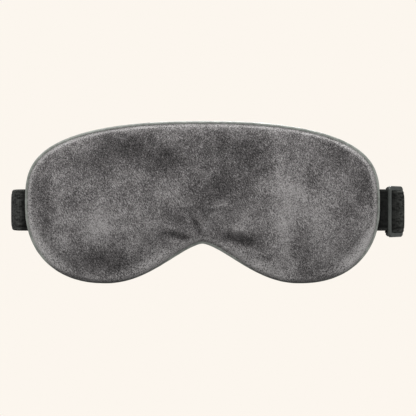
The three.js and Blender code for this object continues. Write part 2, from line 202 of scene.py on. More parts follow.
class Shader:
    """A node material with one Principled shader, and short calls that add and join nodes."""

    def __init__(self, name, colour, roughness, **settings):
        self.material = bpy.data.materials.new(name)
        self.material.use_nodes = True
        self.nodes = self.material.node_tree.nodes
        self.links = self.material.node_tree.links
        self.bsdf = self.nodes["Principled BSDF"]
        self.bsdf.inputs["Base Color"].default_value = colour
        self.bsdf.inputs["Roughness"].default_value = roughness
        for key, value in settings.items():
            self.bsdf.inputs[key.replace("_", " ")].default_value = value

    def node(self, kind, **inputs):
        made = self.nodes.new(kind)
        for key, value in inputs.items():
            self.join(value, made.inputs[key.replace("_", " ")])
        return made

    def join(self, value, socket):
        if isinstance(value, bpy.types.NodeSocket):
            self.links.new(value, socket)
        else:
            socket.default_value = value

    def place(self, source="Object", scale=(1, 1, 1), rotation=(0, 0, 0)):
        coordinates = self.nodes.new("ShaderNodeTexCoord")
        mapping = self.node("ShaderNodeMapping", Vector=coordinates.outputs[source])
        mapping.inputs["Scale"].default_value = scale
        mapping.inputs["Rotation"].default_value = rotation
        return mapping.outputs["Vector"]

    def attribute(self, name):
        made = self.nodes.new("ShaderNodeAttribute")
        made.attribute_name = name
        return made.outputs["Fac"]

    def noise(self, where, size, detail=3.0, roughness=0.55, distortion=0.0):
        """Noise with features of about size metres."""
        made = self.node("ShaderNodeTexNoise", Vector=where, Scale=1 / size, Detail=detail)
        made.inputs["Roughness"].default_value = roughness
        made.inputs["Distortion"].default_value = distortion
        return made.outputs["Fac"]

    def spread(self, value, low, high, to_low=0.0, to_high=1.0):
        """Stretches the range from low to high over the range from to_low to to_high."""
        made = self.node("ShaderNodeMapRange", Value=value)
        made.inputs["From Min"].default_value = low
        made.inputs["From Max"].default_value = high
        made.inputs["To Min"].default_value = to_low
        made.inputs["To Max"].default_value = to_high
        return made.outputs["Result"]

    def maths(self, operation, a, b):
        made = self.nodes.new("ShaderNodeMath")
        made.operation = operation
        self.join(a, made.inputs[0])
        self.join(b, made.inputs[1])
        return made.outputs["Value"]

    def mix(self, share, a, b):
        made = self.nodes.new("ShaderNodeMix")
        made.data_type = "RGBA"
        self.join(share, made.inputs["Factor"])
        self.join(a, made.inputs[6])
        self.join(b, made.inputs[7])
        return made.outputs[2]

    def colour(self, value):
        self.join(value, self.bsdf.inputs["Base Color"])

    def bump(self, height, depth, strength=1.0):
        """Adds a bump of depth metres; several calls stack."""
        made = self.node("ShaderNodeBump", Height=height, Distance=depth, Strength=strength)
        socket = self.bsdf.inputs["Normal"]
        if socket.is_linked:
            self.links.new(socket.links[0].from_socket, made.inputs["Normal"])
        self.links.new(made.outputs["Normal"], socket)


def plush_material():
    """Short-pile plush: brushed nap in lighter and darker patches, partly its own tone and partly
    painted sheen and shade, with painted shade in the creases and by the piping and a painted highlight
    along the edge.
    """
    s = Shader("plush", srgb(104, 99, 97), 1.0, Sheen_Weight=0.25, Sheen_Roughness=0.5)
    s.bsdf.inputs["Sheen Tint"].default_value = srgb(205, 202, 201)
    s.bsdf.inputs["Specular IOR Level"].default_value = 0.15
    tufts = s.noise(s.place(), 3.2 * MM, 4.0, 0.7, 0.6)
    strokes = s.node("ShaderNodeMapping", Vector=s.place(rotation=(0, 0.5, 0)))
    strokes.inputs["Scale"].default_value = (1.5, 1, 0.6)
    fibres = s.noise(strokes.outputs["Vector"], 0.6 * MM, 3.5, 0.7)
    level = s.maths("ADD", s.attribute("nap"), s.spread(tufts, 0.3, 0.7, -0.05, 0.05))
    level = s.maths("ADD", level, s.spread(fibres, 0.25, 0.75, -0.8, 0.8))
    # painted highlight along the edge, where the pile catches the light
    rim_highlight = s.maths("MULTIPLY", s.attribute("rim"), s.spread(fibres, 0.35, 0.65, -0.15, 1.1))
    level = s.maths("ADD", level, rim_highlight)
    ramp = s.node("ShaderNodeValToRGB", Fac=level)
    ramp.color_ramp.elements[0].color = srgb(40, 39, 39)
    ramp.color_ramp.elements[1].color = srgb(172, 169, 168)
    middle = ramp.color_ramp.elements.new(0.5)
    middle.color = srgb(97, 94, 94)
    # the painted highlight also pales the colour towards near white
    rim_highlight_tint = s.maths("MULTIPLY", rim_highlight, 0.4)
    s.colour(s.mix(rim_highlight_tint, ramp.outputs["Color"], srgb(226, 223, 221)))
    s.bump(fibres, 0.6 * MM, 0.9)
    s.bump(tufts, 0.5 * MM, 0.6)
    return s.material


def satin_material():
    s = Shader("satin", srgb(84, 84, 82), 0.55, Sheen_Weight=0.15, Anisotropic=0.4)
    s.bsdf.inputs["Specular IOR Level"].default_value = 0.35
    weave = s.noise(s.place(scale=(1, 1, 12)), 2.5 * MM, 3.0)
    thread = s.node("ShaderNodeTexWave", Vector=s.place(), Scale=1400.0, Distortion=1.5)
    s.colour(s.mix(s.spread(weave, 0.3, 0.7), srgb(74, 74, 72), srgb(90, 90, 88)))
    s.bump(thread.outputs["Fac"], 0.03 * MM, 0.5)
    s.bump(s.noise(s.place(), 14 * MM, 2.0), 0.6 * MM, 0.4)
    return s.material


def piping_material():
    """A satin bias strip: slantwise weave, a little puckered, and painted shade low on the mask."""
    s = Shader("piping", srgb(110, 112, 106), 0.4, Sheen_Weight=0.2, Anisotropic=0.3)
    slantwise = s.place("UV", rotation=(0, 0, 0.8))
    slant = s.node("ShaderNodeTexWave", Vector=slantwise, Scale=260.0, Distortion=3.0, Detail=2.0)
    pucker = s.noise(s.place("UV"), 4 * MM, 3.0, 0.6)
    tone = s.mix(s.spread(pucker, 0.3, 0.7), srgb(114, 118, 112), srgb(160, 164, 157))
    tone = s.mix(s.spread(slant.outputs["Fac"], 0, 1, 0, 0.25), tone, srgb(100, 103, 98))
    # painted shade: the strip darkens towards the bottom of the mask
    s.colour(s.mix(s.attribute("low"), tone, srgb(62, 64, 60)))
    s.bump(slant.outputs["Fac"], 0.06 * MM, 0.6)
    s.bump(pucker, 0.35 * MM, 0.7)
    return s.material


def thread_material():
    s = Shader("thread", srgb(52, 52, 50), 0.6, Sheen_Weight=0.2)
    twist = s.node("ShaderNodeTexWave", Vector=s.place(rotation=(0.7, 0.5, 0.6)), Scale=900.0)
    s.colour(s.mix(s.spread(twist.outputs["Fac"], 0, 1, 0, 0.6), srgb(58, 58, 56), srgb(92, 92, 89)))
    s.bump(twist.outputs["Fac"], 0.05 * MM)
    return s.material


def elastic_material():
    """Plush-faced elastic: knitted rows across, a velvety nap, smoother rolled edges."""
    s = Shader("elastic", srgb(36, 37, 35), 0.9, Sheen_Weight=0.04, Sheen_Roughness=0.5)
    s.bsdf.inputs["Sheen Tint"].default_value = srgb(120, 122, 117)
    s.bsdf.inputs["Specular IOR Level"].default_value = 0.12
    rows = s.node("ShaderNodeTexWave", Vector=s.place("UV"), Scale=190.0, Distortion=1.2, Detail=2.0)
    nap = s.noise(s.place("UV", scale=(0.4, 1, 1)), 1.3 * MM, 3.0, 0.65)
    patches = s.noise(s.place("UV", scale=(0.6, 1, 1)), 6 * MM, 3.0)
    worn = s.spread(patches, 0.35, 0.65, -0.15, 0.2)
    level = s.maths("ADD", s.spread(nap, 0.38, 0.62, 0, 0.75), worn)
    level = s.maths("ADD", level, s.spread(rows.outputs["Fac"], 0, 1, 0, 0.15))
    # painted shade: darker where the elastic lies in the shadow of the mask's edge and the slider
    level = s.maths("MULTIPLY", level, s.spread(s.attribute("painted_shade"), 0, 1, 1, 0.15))
    level = s.maths("ADD", level, s.spread(s.attribute("selvedge"), 0, 1, 0, 0.35))
    s.colour(s.mix(level, srgb(12, 13, 12), srgb(78, 79, 76)))
    s.bump(nap, 0.3 * MM, 0.8)
    s.bump(rows.outputs["Fac"], 0.12 * MM, 0.6)
    return s.material


def plastic_material():
    s = Shader("slider_plastic", srgb(66, 68, 66), 0.28)
    grain = s.noise(s.place(), 0.5 * MM, 3.0, 0.6)
    scuffs = s.noise(s.place(scale=(1, 1, 0.3)), 3 * MM, 4.0, 0.6)
    s.colour(s.mix(s.spread(scuffs, 0.45, 0.75), srgb(66, 69, 66), srgb(92, 95, 91)))
    s.join(s.spread(scuffs, 0.35, 0.7, 0.28, 0.46), s.bsdf.inputs["Roughness"])
    s.bump(grain, 0.03 * MM, 0.5)
    return s.material


def fibre_material(name, dark, light, size):
    """Batting, foam or lining: what is inside."""
    s = Shader(name, light, 0.95)
    grain = s.noise(s.place(), size, 5.0, 0.7, 0.5)
    s.colour(s.mix(s.spread(grain, 0.3, 0.7), dark, light))
    s.bump(grain, 0.3 * MM, 0.8)
    return s.material


LOOKS = {
    "plush": plush_material(),
    "satin": satin_material(),
    "piping": piping_material(),
    "thread": thread_material(),
    "elastic": elastic_material(),
    "slider_plastic": plastic_material(),
    "batting": fibre_material("batting", srgb(205, 203, 196), srgb(240, 238, 232), 0.8 * MM),
    "foam": fibre_material("foam", srgb(196, 192, 180), srgb(222, 218, 206), 0.6 * MM),
    "blackout": fibre_material("blackout", srgb(18, 18, 19), srgb(30, 30, 31), 0.4 * MM),
}


def paint(obj, slot_name):
    obj.data.materials.clear()
    obj.data.materials.append(LOOKS[slot_name])


# ---------- the padded body ----------
PILLOW_SHARES = [0, 0.02, 0.05, 0.09, 0.14, 0.2, 0.3, 0.42, 0.56, 0.7, 0.84, 0.97]  # edge to spine
FRONT_LIFT = 0.3 * MM  # the batting lifts the plush a little more than the CAD shape
VOXEL = 2 * MM
HELD_WIDTH = 1.6 * MM  # what the seam holds still while the pillow swells
STUFFING_FRAMES = 20
STUFFING_CAP = 5 * MM  # the furthest that any point may move
SEAM_GAP = 0.25 * MM  # from the seam plane to each cover's edge in the seam
NAP_LEVEL = 0.49  # how light the pile is where nothing brushed it, from 0 to 1
NAP_REACH = 0.47  # and how far the strongest brushing would change that
SAG_OUT = 0.9 * MM  # how far the plush hangs out over the piping under the lobes,
SAG_FORWARD = 0.5 * MM  # and bulges forward there
UNEVEN = 0.45 * MM  # the batting's lumps under the plush
SATIN_LEVEL = -0.6 * MM  # the skin side is pressed flatter beyond this
SATIN_GIVE = 1.2 * MM  # and reaches no further than this beyond that


def dome(share):
    """How far a pillow has risen, from 0 at its edge to 1, a share of the way in."""
    return (1 - (1 - np.minimum(1, share)) ** DOME_POWER) ** (1 / DOME_POWER)


def pillow():
    """The closed shape of the stuffed covers, before it is stuffed."""
    count = 360
    edge = outline(count)
    rim = edge + inwards(edge) * EDGE_INSET
    spine = spine_of(edge)
    front_height = FRONT_RISE - EDGE_RISE + FRONT_LIFT
    back_height = BACK_RISE - EDGE_RISE

    def ring(share, y):
        flat = rim + (spine - rim) * share
        return np.stack([flat[:, 0], np.full(count, y), flat[:, 1]], axis=1)

    front = [ring(s, SEAM_Y - EDGE_RISE - front_height * dome(s)) for s in PILLOW_SHARES]
    back = [ring(s, SEAM_Y + EDGE_RISE + back_height * dome(s / BACK_FLAT)) for s in PILLOW_SHARES]
    rings = front[::-1] + back
    faces = ring_faces(len(rings), count)
    end = (len(rings) - 1) * count
    for i in range(count // 2 - 1):
        cap = (i, i + 1, count - 2 - i, count - 1 - i)
        faces.append(cap)
        faces.append(tuple(end + v for v in reversed(cap)))
    return new_object("pillow", np.concatenate(rings), faces)


def remesh(obj, size):
    modifier = obj.modifiers.new("remesh", "REMESH")
    modifier.mode = "VOXEL"
    modifier.voxel_size = size
    apply_modifiers(obj)


def distance_to_outline(points):
    """How far each (x, z) is from the mask's outline."""
    edge = outline(900)
    best = np.full(len(points), np.inf)
    for piece in np.split(edge, 9):
        gap = np.linalg.norm(points[:, None, :] - piece[None, :, :], axis=2).min(axis=1)
        best = np.minimum(best, gap)
    return best


def hold_edge(obj):
    inset = distance_to_outline(coords(obj)[:, [0, 2]])
    held = obj.vertex_groups.new(name="held")
    for index in np.nonzero(inset < EDGE_INSET + HELD_WIDTH)[0]:
        held.add([int(index)], 1.0, "REPLACE")


def stuff(obj):
    """Swells the pillow by cloth simulation, with its edge held, and applies the result."""
    rest = coords(obj)
    hold_edge(obj)
    cloth = obj.modifiers.new("cloth", "CLOTH")
    settings = cloth.settings
    settings.quality = 6
    settings.mass = 0.15
    settings.tension_stiffness = 12
    settings.compression_stiffness = 12
    settings.shear_stiffness = 6
    settings.bending_stiffness = 0.6
    settings.use_pressure = True
    settings.uniform_pressure_force = 4
    settings.shrink_min = -0.035
    settings.vertex_group_mass = "held"
    settings.effector_weights.gravity = 0
    cloth.collision_settings.use_collision = False
    cloth.point_cache.frame_start = 1
    cloth.point_cache.frame_end = STUFFING_FRAMES
    for number in range(1, STUFFING_FRAMES + 1):
        scene.frame_set(number)
    apply_modifiers(obj)
    scene.frame_set(1)
    moved = coords(obj) - rest
    side = np.sign(rest[:, 1] - SEAM_Y)
    moved[:, 1] = side * np.maximum(side * moved[:, 1], 0)  # never inwards, into the padding
    length = np.maximum(np.linalg.norm(moved, axis=1, keepdims=True), 1e-9)
    set_coords(obj, rest + moved * np.minimum(1, STUFFING_CAP / length))


def subdivide(obj):
    modifier = obj.modifiers.new("subdivide", "SUBSURF")
    modifier.levels = 1
    modifier.render_levels = 1
    apply_modifiers(obj)


def keep_side(obj, name, front):
    """A copy of obj with only its front or its back faces, out to the seam."""
    co = coords(obj)
    faces = []
    for p in obj.data.polygons:
        if (p.center.y < SEAM_Y) == front:
            faces.append(tuple(p.vertices))
    used = sorted({v for f in faces for v in f})
    index = {v: i for i, v in enumerate(used)}
    return new_object(name, co[used], [tuple(index[v] for v in f) for f in faces])


def nearest_on(edge, point):
    """The index of the outline point nearest to a 3-D point."""
    return np.argmin(((edge - point[[0, 2]]) ** 2).sum(axis=1))


def reach_seam(obj, side):
    """Moves the open edge of a cover into the seam, under the piping."""
    mesh = obj.data
    uses = np.zeros(len(mesh.edges), int)
    keys = {edge.key: edge.index for edge in mesh.edges}
    for polygon in mesh.polygons:
        for key in polygon.edge_keys:
            uses[keys[key]] += 1
    rim = sorted({v for edge in mesh.edges if uses[edge.index] == 1 for v in edge.vertices})
    co = coords(obj)
    edge = outline(1800)
    normal = inwards(edge)
    for index in rim:
        nearest = nearest_on(edge, co[index])
        x, z = edge[nearest] + normal[nearest] * PIPING_R
        co[index] = (x, SEAM_Y + side * SEAM_GAP, z)
    set_coords(obj, co)


# Creases that run up from the peak of the nose notch, in millimetres from that peak: where each
# starts and ends (x, z), its half width, and its depth.
NOSE_Z = WIDEST_Z - NOSE_DROP
CREASES = [
    ((-1.5, 7), (-6.5, 18), 1.5, 1.1),
    ((-10, 3), (-22, 6.5), 1.7, 1.0),
    ((15, 3.5), (31, 0.5), 2.9, 1.0),
    ((15, 10), (17, 3), 1.6, 0.5),
]
# Where the pile lies light or dark, partly its own brushing and partly painted sheen and shade: centre
# (x, z) and half sizes in millimetres, and how strongly.
NAP_AND_SHEEN_PATCHES = [
    ((-62, -9), (8, 14), 0.75),
    ((-40, -20), (9, 7), 0.45),
    ((-45, 8), (24, 16), 0.3),
    ((-84, 0), (7, 30), 0.25),
    ((-70, 38), (12, 5), 0.25),
    ((54, 6), (9, 14), 0.7),
    ((48, -18), (7, 14), 0.6),
    ((25, -2), (14, 10), 0.35),
    ((72, -4), (10, 26), 0.4),
    ((40, 14), (14, 8), 0.25),
    ((86, -30), (12, 8), 0.2),
    ((-46, 38), (14, 9), -0.62),
    ((-24, 30), (10, 12), -0.35),
    ((-62, 28), (14, 7), -0.3),
    ((-62, -30), (9, 6), -0.65),
    ((-50, -36), (8, 5), -0.5),
    ((-94, -4), (6, 22), -0.35),
    ((14, 17), (9, 9), -0.58),
    ((28, 31), (12, 9), -0.4),
    ((22, -19), (14, 6), -0.4),
    ((-21, -14), (9, 5), -0.3),
    ((2, 36), (26, 12), -0.25),
    ((96, 12), (5, 12), -0.45),
    ((82, 32), (9, 6), -0.3),
    ((60, -26), (7, 8), -0.2),
]


def crease_depth(co):
    """How far the creases push each point in, and the painted shade in each crease, with painted light
    on the ridges beside it.
    """
    depth = np.zeros(len(co))
    shade = np.zeros(len(co))
    for start, end, width, deep in CREASES:
        a = np.array([start[0] * MM, NOSE_Z + start[1] * MM])
        b = np.array([end[0] * MM, NOSE_Z + end[1] * MM])
        run = np.linalg.norm(b - a)
        flat = co[:, [0, 2]] - a
        along = flat @ (b - a) / run / run
        across = np.abs(flat @ np.array([-(b - a)[1], (b - a)[0]]) / run) / (width * MM)
        fade = smooth_share(along / 0.25 + 1) * smooth_share((1.3 - along) / 0.8)
        valley = bell(across, 1)
        ridge = bell(across - 2.3, 1.4)
        depth += deep * MM * fade * (valley - 0.5 * ridge)
        # painted shade in the valley, painted light on the ridges beside it
        shade += 0.8 * deep * fade * (valley - 0.35 * ridge)
    return depth, shade


def fractal(co, scale, dimension, lacunarity, octaves):
    return np.array([noise.fractal(Vector(p) * scale, dimension, lacunarity, octaves) for p in co])


def nap_and_sheen_level(co):
    """How light the pile lies, about 0.5, from the brushed patches, partly painted sheen and shade, and
    some wandering.
    """
    level = np.full(len(co), NAP_LEVEL)
    for centre, size, strength in NAP_AND_SHEEN_PATCHES:
        across = bell(co[:, 0] - centre[0] * MM, size[0] * MM)
        level += NAP_REACH * strength * across * bell(co[:, 2] - centre[1] * MM, size[1] * MM)
    return level + 0.16 * fractal(co, 55, 0.6, 2.1, 4) + 0.1 * fractal(co, 210, 0.6, 2.1, 3)


def painted_rim_highlight(co, inset):
    """The painted highlight where the ends of the pile catch the light along the edge, most at the
    lower corners.
    """
    x, z = np.abs(co[:, 0]), co[:, 2]
    above = smooth_share((z + 42 * MM) / (20 * MM))  # 0 under the lobes, 1 from the notch up
    side = smooth_share((x - 70 * MM) / (20 * MM))
    corner = bell(z + 20 * MM, 15 * MM) * smooth_share((x - 72 * MM) / (15 * MM))
    flank = bell(x - 32 * MM, 18 * MM) * smooth_share((-12 * MM - z) / (10 * MM))
    narrow = bell(inset - 2.9 * MM, 1.4 * MM)
    wide = bell(inset - 4.5 * MM, 4.5 * MM)
    return (above * (0.42 + 0.38 * side) + 0.6 * corner) * narrow + (0.8 * corner + 0.65 * flank) * wide


def hang_over_piping(co, inset):
    """Lets the plush sag a little over the piping round the bottom of the lobes."""
    edge = outline(1800)
    normal = inwards(edge)
    low = smooth_share((-24 * MM - co[:, 2]) / (12 * MM))
    begins = smooth_share((inset - 1.15 * PIPING_R) / (0.5 * MM))
    ends = smooth_share((6 * MM - inset) / (4 * MM))
    share = low * begins * ends
    for index in np.nonzero(share > 0.01)[0]:
        way_in = normal[nearest_on(edge, co[index])]
        co[index, [0, 2]] -= way_in * SAG_OUT * share[index]
        co[index, 1] -= SAG_FORWARD * share[index]


def finish_front(obj):
    reach_seam(obj, -1)
    subdivide(obj)
    co = coords(obj)
    depth, shade = crease_depth(co)
    co[:, 1] += depth
    inset = distance_to_outline(co[:, [0, 2]])
    hang_over_piping(co, inset)
    inside = smooth_share((inset - 4 * MM) / (8 * MM))
    co[:, 1] += UNEVEN * inside * fractal(co, 70, 0.5, 2.0, 3)
    set_coords(obj, co)
    # painted shade in the groove along the piping, and the creases' painted shade, taken off the pile's
    # lightness
    gutter = bell(inset - EDGE_INSET, 0.6 * MM)
    store(obj, "nap", nap_and_sheen_level(co) - 0.34 * shade - 0.18 * gutter)
    # rim: a painted highlight along the edge
    store(obj, "rim", painted_rim_highlight(co, inset))
    paint(obj, "plush")
    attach(obj, "mask")
    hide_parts("front_cover")


def finish_back(obj):
    reach_seam(obj, 1)
    subdivide(obj)
    co = coords(obj)
    over = np.maximum(0, co[:, 1] - SATIN_LEVEL)
    co[:, 1] += SATIN_GIVE * (1 - np.exp(-over / SATIN_GIVE)) - over
    set_coords(obj, co)
    paint(obj, "satin")
    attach(obj, "mask")
    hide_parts("back_cover")


body = pillow()
remesh(body, VOXEL)
stuff(body)
front_look = keep_side(body, "plush_front", True)
back_look = keep_side(body, "satin_back", False)
bpy.data.objects.remove(body)
finish_front(front_look)
finish_back(back_look)


# ---------- the piping and its seam ----------
def wrap_uv(obj, rings, sides, length, girth):
    """UVs in metres for a closed tube: along the rings, and round each.

    Where the tube closes on itself, the numbers run on instead of going back to 0.
    """
    layer = obj.data.uv_layers.new(name="UVMap")
    for p in obj.data.polygons:
        ids = [obj.data.loops[k].vertex_index for k in p.loop_indices]
        ring_ids = [v // sides for v in ids]
        side_ids = [v % sides for v in ids]
        for k, r, s in zip(p.loop_indices, ring_ids, side_ids):
            r = r + rings if r == 0 and max(ring_ids) > 1 else r
            s = s + sides if s == 0 and max(side_ids) > 1 else s
            layer.data[k].uv = (r / rings * length, s / sides * girth)


def make_piping():
    """The covered cord round the edge, a little uneven along its length."""
    count, sides = 900, 14
    edge = outline(count)
    normal = inwards(edge)
    verts = []
    for i, (p, n) in enumerate(zip(edge + normal * PIPING_R, normal)):
        radius = PIPING_R * (1 + 0.06 * noise.noise(Vector((i / count * 160, 0, 0))))
        for k in range(sides):
            angle = 2 * math.pi * k / sides
            x, z = p - n * radius * math.cos(angle)
            verts.append((x, SEAM_Y + radius * math.sin(angle), z))
    obj = new_object("piping_look", verts, ring_faces(count, sides, closed=True))
    wrap_uv(obj, count, sides, closed_length(edge), 2 * math.pi * PIPING_R)
    # low: painted shade on the strip, growing towards the bottom of the mask
    store(obj, "low", smooth_share((-26 * MM - coords(obj)[:, 2]) / (18 * MM)))
    paint(obj, "piping")
    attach(obj, "mask")
    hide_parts("piping_cover")


def make_stitches():
    """Short stitches in the gutter between the piping and the plush."""
    pitch, sides, steps = 2.6 * MM, 6, 5
    shown = 0.76  # share of the pitch that a stitch takes up
    half_thick, lift, gap = 0.2 * MM, 0.35 * MM, 0.25 * MM
    edge = outline(2400)
    normal = inwards(edge)
    count = int(closed_length(edge) / pitch)
    verts, faces = [], []
    for n in range(count):
        base = len(verts)
        for j in range(steps):
            share = j / (steps - 1)
            along = (1 - shown) / 2 + shown * share
            k = int((n + along) / count * len(edge)) % len(edge)
            p = edge[k] + normal[k] * (2 * PIPING_R + gap)
            radius = half_thick * math.sin(math.pi * along) ** 0.5
            front = SEAM_Y - EDGE_RISE - lift * (1 + math.sin(math.pi * share))
            for s in range(sides):
                angle = 2 * math.pi * s / sides
                x, z = p + normal[k] * radius * math.cos(angle)
                verts.append((x, front - radius * math.sin(angle), z))
        for face in ring_faces(steps, sides) + end_caps(steps, sides):
            faces.append(tuple(base + v for v in face))
    obj = new_object("gutter_stitches", verts, faces)
    paint(obj, "thread")
    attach(obj, "mask")


make_piping()
make_stitches()


# ---------- the elastic ----------
STRAP_END_LOW, STRAP_END_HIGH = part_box("strap_end_left")
ELASTIC_WIDTH = STRAP_END_HIGH.z * 2
ELASTIC_Y = (STRAP_END_LOW.y + STRAP_END_HIGH.y) / 2
BAND_THICK = 1.35 * MM
THIN = 1.2 * MM  # the elastic where it lies in layers
LAYER = 1.25 * MM  # and from one layer to the next
CUP_RUN = 30 * MM  # a curled band is curled for this far, and flat after twice this
NO_PAINTED_SHADE = (-2 * MM, -1 * MM)  # a painted shade that is over before the band begins
INNER_FACE = 0.1  # metres between the two faces of a band in its UV map

# The route, seen from above: straight out of the edge, a tight corner, the temple, and then the rear.
LOOP_START = HALF_WIDTH + 1.5 * MM
CORNER_R = 5 * MM
TEMPLE_R = 50 * MM
CORNER_END = math.radians(60)
TEMPLE_END = math.radians(135)
CORNER_X = LOOP_START + CORNER_R * math.sin(CORNER_END)
CORNER_Y = ELASTIC_Y + CORNER_R * (1 - math.cos(CORNER_END))
TEMPLE_X = CORNER_X + TEMPLE_R * (math.sin(TEMPLE_END) - math.sin(CORNER_END))
TEMPLE_Y = CORNER_Y + TEMPLE_R * (math.cos(CORNER_END) - math.cos(TEMPLE_END))
REAR_R = TEMPLE_X / math.sin(TEMPLE_END)

# Headings on the route.
SEWN_IN = -8 * MM / TEMPLE_R  # stands for the straight, sewn-in end
SLIDER_HEADING = math.radians(71)
HEM_START = math.radians(121)
TAIL_END = math.radians(128)
REAR_START = math.radians(134)


def on_loop(heading, level=0.0):
    """The point (x, y) where the route runs at a heading, moved outwards by a level."""
    sine, cosine = math.sin(heading), math.cos(heading)
    if heading < 0:  # the straight bit that comes out of the edge
        x, y = LOOP_START + heading * TEMPLE_R, ELASTIC_Y
        sine, cosine = 0, 1
    elif heading <= CORNER_END:
        x, y = LOOP_START + CORNER_R * sine, ELASTIC_Y + CORNER_R * (1 - cosine)
    elif heading <= TEMPLE_END:
        x = CORNER_X + TEMPLE_R * (sine - math.sin(CORNER_END))
        y = CORNER_Y + TEMPLE_R * (math.cos(CORNER_END) - cosine)
    else:
        x = TEMPLE_X + REAR_R * (sine - math.sin(TEMPLE_END))
        y = TEMPLE_Y + REAR_R * (math.cos(TEMPLE_END) - cosine)
    return np.array([x + level * sine, y - level * cosine])


def headings(start, end):
    """Headings about a millimetre apart along the route."""
    found = [start]
    while found[-1] < end:
        at = found[-1]
        if 0 <= at < CORNER_END:
            step = 0.7 * MM / CORNER_R
        else:
            step = 1.2 * MM / (TEMPLE_R if at < TEMPLE_END else REAR_R)
        found.append(min(end, at + step))
    return found


def outwards(route):
    """Unit vectors that point out of the head from each point of a route."""
    along = np.gradient(route, axis=0)
    along /= np.linalg.norm(along, axis=1, keepdims=True)
    normal = np.stack([along[:, 1], -along[:, 0]], axis=1)
    middle = np.array([0, route[:, 1].mean()])
    return normal if (normal * (route - middle)).sum() >= 0 else -normal


def band_section(width, thick):
    """A band's closed section as (height, level) points: rolled edges, with a sunk line inside each."""
    across = [0, 0.16, 0.32, 0.48, 0.64, 0.77, 0.82, 0.85, 0.88, 0.92, 0.96, 0.99]
    swell = [1, 1, 1, 1, 1, 1, 0.9, 0.86, 0.98, 1.06, 0.94, 0.62]
    upper = list(zip(across, swell))
    quarter = upper + [(1, 0)]
    lower = [(z, -t) for z, t in reversed(upper)]
    half = quarter + lower
    ring = half + [(-z, t) for z, t in reversed(half[1:-1])]
    return [(z * width / 2, t * thick / 2) for z, t in ring]


def band_uv(obj, section, places):
    """UVs in metres: the places along the band, and across each of its two faces."""
    layer = obj.data.uv_layers.new(name="UVMap")
    for loop in obj.data.loops:
        ring, side = divmod(loop.vertex_index, len(section))
        z, level = section[side]
        layer.data[loop.index].uv = (places[ring], z + (INNER_FACE if level < 0 else 0))


def band_marks(obj, section, width, run, painted_shade):
    """Where the lines of the selvedge are, and where shade is painted."""
    heights = np.array([abs(2 * z / width) for z, _ in section])
    lines = bell(heights - 0.92, 0.03) - 0.6 * bell(heights - 0.85, 0.03)
    start, end = painted_shade
    store(obj, "selvedge", np.tile(lines, len(run)))
    # painted shade, full up to its start and gone at its end
    store(obj, "painted_shade", np.repeat(smooth_share((end - run) / (end - start)), len(section)))


def fix_normals(obj):
    bm = bmesh.new()
    bm.from_mesh(obj.data)
    bmesh.ops.recalc_face_normals(bm, faces=bm.faces)
    bm.to_mesh(obj.data)
    bm.free()


def band(
    name, route, thick=BAND_THICK, width=ELASTIC_WIDTH, cup=0.0, painted_shade=NO_PAINTED_SHADE, uv_from=0.0, uv_step=1
):
    """A flat band of elastic along a route of (x, y) points.

    cup is how far its edges curl in at the start, painted_shade where its painted shade begins to fade
    and where it is gone, and uv_from and uv_step carry the weave on from the stretch before.
    """
    route = np.array(route)
    run = lengths_along(route)
    section = band_section(width, thick)
    cups = cup * smooth_share(2 - run / CUP_RUN)
    verts = [
        (*(p + n * (level - sink * abs(2 * z / width) ** 6)), z)
        for p, n, sink in zip(route, outwards(route), cups)
        for z, level in section
    ]
    rings, sides = len(route), len(section)
    obj = new_object(name, verts, ring_faces(rings, sides) + end_caps(rings, sides))
    band_uv(obj, section, uv_from + uv_step * run)
    band_marks(obj, section, width, run, painted_shade)
    fix_normals(obj)
    paint(obj, "elastic")
    return obj


def mirror_x(route):
    return [(-p[0], p[1]) for p in route]


LEFT_ROUTE = mirror_x([on_loop(h) for h in headings(SEWN_IN, REAR_START)])
REAR_HALF = [on_loop(h) for h in headings(REAR_START, math.pi)]
REAR_ROUTE = mirror_x(REAR_HALF) + REAR_HALF[-2::-1]
LEFT_LENGTH = lengths_along(LEFT_ROUTE)[-1]
REAR_LENGTH = lengths_along(REAR_ROUTE)[-1]


def make_left_strap():
    # painted shade where the elastic comes out from behind the mask's edge
    strap = band("elastic_left", LEFT_ROUTE, cup=1.1 * MM, painted_shade=(7 * MM, 10.5 * MM))
    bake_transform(strap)
    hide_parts("strap_left", "strap_end_left")


def make_rear_strap():
    strap = band("elastic_rear", REAR_ROUTE, uv_from=LEFT_LENGTH)
    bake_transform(strap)
    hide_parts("strap_rear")


def hemmed_route():
    """The short elastic's route: out of the seam, round the temple, and folded back at its end."""
    out = [on_loop(h) for h in headings(SEWN_IN, TAIL_END)[:-1]]
    turn = LAYER / 2
    way_on = np.array([math.cos(TAIL_END), math.sin(TAIL_END)])
    way_out = np.array([math.sin(TAIL_END), -math.cos(TAIL_END)])
    fold = [
        on_loop(TAIL_END, turn) + turn * (way_on * math.cos(a) + way_out * math.sin(a))
        for a in np.linspace(-math.pi / 2, math.pi / 2, 9)
    ]
    back = [on_loop(h, LAYER) for h in reversed(headings(HEM_START, TAIL_END)[:-1])]
    return out + fold + back


def make_short_strap():
    # painted shade between the mask's edge and the slider
    strap = band("elastic_short", hemmed_route(), THIN, painted_shade=(10 * MM, 17 * MM))
    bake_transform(strap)
    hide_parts("short_strap", "strap_end_right")


make_left_strap()
make_rear_strap()
make_short_strap()


# ---------- the slider, and the elastic that humps over it ----------
SLIDER_LOW, SLIDER_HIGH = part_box("slider")
SLIDER_TURN = math.radians(52)  # the way it points out from the mask, seen from above
SLIDER_LENGTH = 17 * MM
SLIDER_SAG = -1.0 * MM  # it hangs a little low on the elastic
SLIDER_HEIGHT = SLIDER_HIGH.z - SLIDER_LOW.z
BAR_WIDTH = 2.3 * MM
END_WIDTH = 2.9 * MM
BAR_THICK = 1.8 * MM
MIDDLE_BAR_LEVEL = -2.9 * MM  # the middle bar is bowed this far inside the elastic's route
